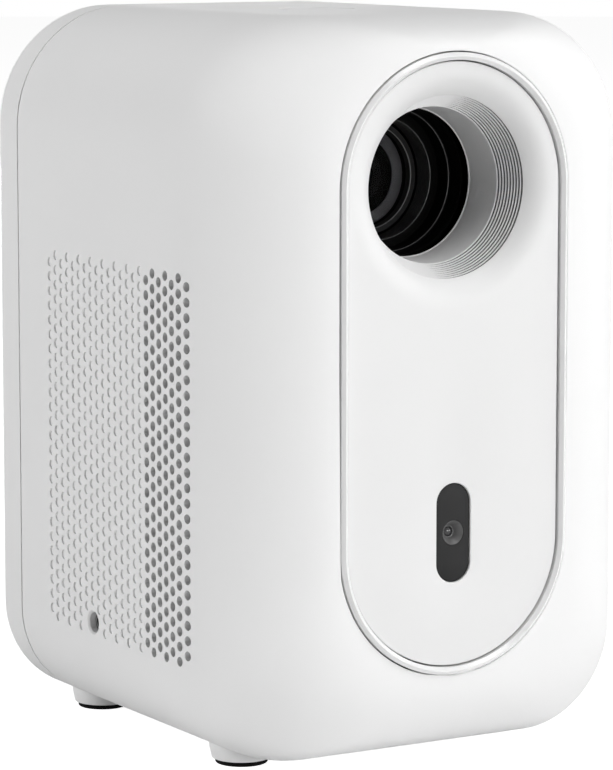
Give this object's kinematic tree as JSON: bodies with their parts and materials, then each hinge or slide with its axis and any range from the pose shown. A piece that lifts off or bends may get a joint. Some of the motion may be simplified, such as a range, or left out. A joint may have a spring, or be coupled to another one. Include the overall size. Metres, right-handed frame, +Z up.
{
  "type": "home projector",
  "caption": "Tower-shaped home projector: rounded white casing, recessed lens in an upright oval front panel, sensor window, perforated side vents, top button and short feet.",
  "frame": {"origin": "on the surface it stands on, under the middle of the part's box", "axes": "+Z up, the lens and front panel face -Y, +X to the right as seen from the front"},
  "size_m": [0.1296, 0.1402, 0.1992],
  "materials": {
    "white_shell": "moulded white plastic with a fine even grain",
    "panel_white": "moulded white plastic, smooth satin",
    "trim_white": "moulded white plastic, polished edge",
    "smoked": "dark smoked acrylic",
    "black_plastic": "black moulded plastic",
    "black_anodised": "black anodised",
    "rubber": "matt rubber",
    "steel": "zinc plated",
    "brass": "turned brass",
    "aluminium": "extruded aluminium",
    "board": "green solder mask",
    "glass": "coated optical glass",
    "lens_sheet": "moulded clear lens sheet",
    "mirror": "front surface mirror",
    "nylon": "natural nylon",
    "paper": "pressed paper cone"
  },
  "bodies": {
    "projector": {"main_housing": "white_shell", "back_cover": "white_shell", "trim_ring": "trim_white", "front_panel": "panel_white", "sensor_window": "smoked", "camera_module": "black_plastic", "camera_glass": "glass", "ir_receiver": "black_plastic", "sensor_board": "board", "button_board": "board", "button_switch": "black_plastic", "feet": "white_shell", "foot_pads": "rubber", "foot_screws": "steel", "tripod_bush": "brass", "base_chassis": "black_plastic", "power_board": "board", "transformer": "black_plastic", "bulk_capacitor": "black_plastic", "ac_inlet": "black_plastic", "inlet_pins": "steel", "heat_sink": "aluminium", "led_module": "aluminium", "condenser_lens": "glass", "light_engine_housing": "black_plastic", "collimator_lens": "lens_sheet", "lcd_frame": "black_plastic", "lcd_panel": "glass", "field_frame": "black_plastic", "field_lens": "lens_sheet", "mirror": "mirror", "mirror_housing": "black_plastic", "lens_sleeve": "black_plastic", "ring_keeper": "steel", "focus_motor": "steel", "fan_frame": "black_plastic", "main_board": "board", "board_screws": "steel", "processor_block": "aluminium", "video_socket": "steel", "data_sockets": "steel", "audio_jack": "black_plastic", "audio_board": "board", "speaker_basket": "steel", "speaker_magnet": "steel", "speaker_cone": "paper", "vent_mesh_left": "black_plastic", "vent_mesh_right": "black_plastic", "back_cover_screws": "steel", "panel_screws": "steel"},
    "power_button": {"power_button": "white_shell"},
    "fan_rotor": {"fan_rotor": "black_plastic"},
    "focus_ring": {"focus_ring": "nylon"},
    "lens_barrel": {"lens_barrel": "black_plastic", "front_lens": "glass", "rear_lens": "glass", "front_lens_ring": "black_anodised", "rear_lens_ring": "black_anodised"},
    "focus_pinion": {"focus_pinion": "brass"}
  },
  "joints": [
    {"name": "button_press", "type": "slide", "parent": "projector", "child": "power_button", "axis": [0, 0, -1], "range_m": [0, 0.0008], "stiffness_N_per_m": 2500},
    {"name": "fan_spin", "type": "hinge", "parent": "projector", "child": "fan_rotor", "pos_m": [0.0435, -0.03345, 0.07], "axis": [1, 0, 0], "continuous": true},
    {"name": "focus_turn", "type": "hinge", "parent": "projector", "child": "focus_ring", "pos_m": [0, -0.02295, 0.15511], "axis": [0, 1, 0], "range_deg": [-62, 62]},
    {"name": "lens_slide", "type": "slide", "parent": "projector", "child": "lens_barrel", "axis": [0, 1, 0], "range_m": [-0.0025, 0.0025]},
    {"name": "pinion_turn", "type": "hinge", "parent": "projector", "child": "focus_pinion", "pos_m": [-0.02206, -0.02295, 0.13305], "axis": [0, 1, 0], "range_deg": [-284, 284]}
  ],
  "couplings": [
    {"joint": "focus_turn", "follows": "lens_slide", "rad_per_m": 418.88},
    {"joint": "pinion_turn", "follows": "lens_slide", "rad_per_m": -1914.9}
  ]
}
